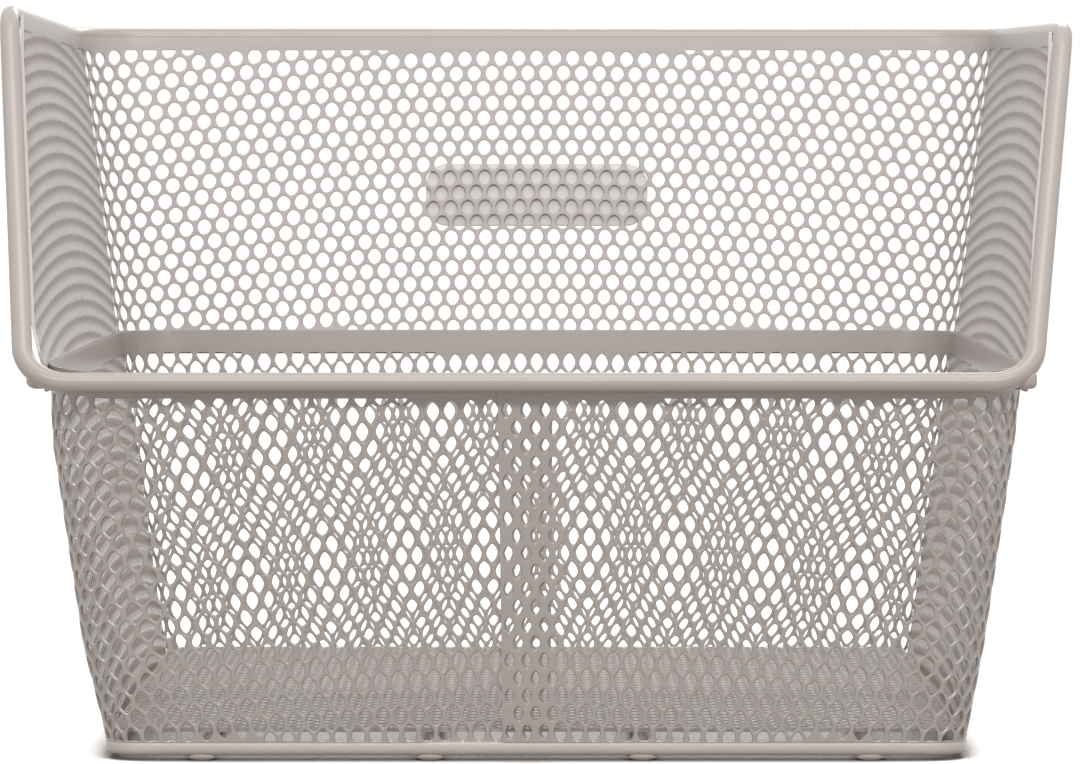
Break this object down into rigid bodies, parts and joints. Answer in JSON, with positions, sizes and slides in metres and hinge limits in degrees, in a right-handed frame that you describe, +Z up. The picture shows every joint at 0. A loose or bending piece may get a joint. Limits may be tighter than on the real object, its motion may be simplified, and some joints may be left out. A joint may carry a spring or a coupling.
{
  "type": "rear bicycle basket",
  "caption": "Open bicycle basket of perforated sheet with flared walls, a low front and a bent tube rim, standing on a wire ring and lengthwise floor wires.",
  "frame": {"origin": "on the surface it stands on, under the middle of the whole basket", "axes": "+Z up, +Y from the low front wall to the back wall, +X to the right seen from the front"},
  "size_m": [0.3498, 0.3799, 0.2394],
  "materials": {
    "painted_tube": "satin powder coat",
    "painted_mesh": "satin powder coat",
    "painted_wire": "satin powder coat",
    "painted_plate": "satin powder coat"
  },
  "bodies": {
    "root": {"rim_tube": "painted_tube", "corner_lug_left": "painted_tube", "corner_lug_right": "painted_tube", "lower_mesh": "painted_mesh", "upper_mesh": "painted_mesh", "floor_mesh": "painted_mesh", "bottom_ring": "painted_wire", "floor_wire_1": "painted_wire", "floor_wire_2": "painted_wire", "floor_wire_3": "painted_wire", "floor_wire_4": "painted_wire", "cross_wire_front": "painted_wire", "cross_wire_middle": "painted_wire", "cross_wire_back": "painted_wire", "rear_plate": "painted_plate"}
  },
  "joints": []
}
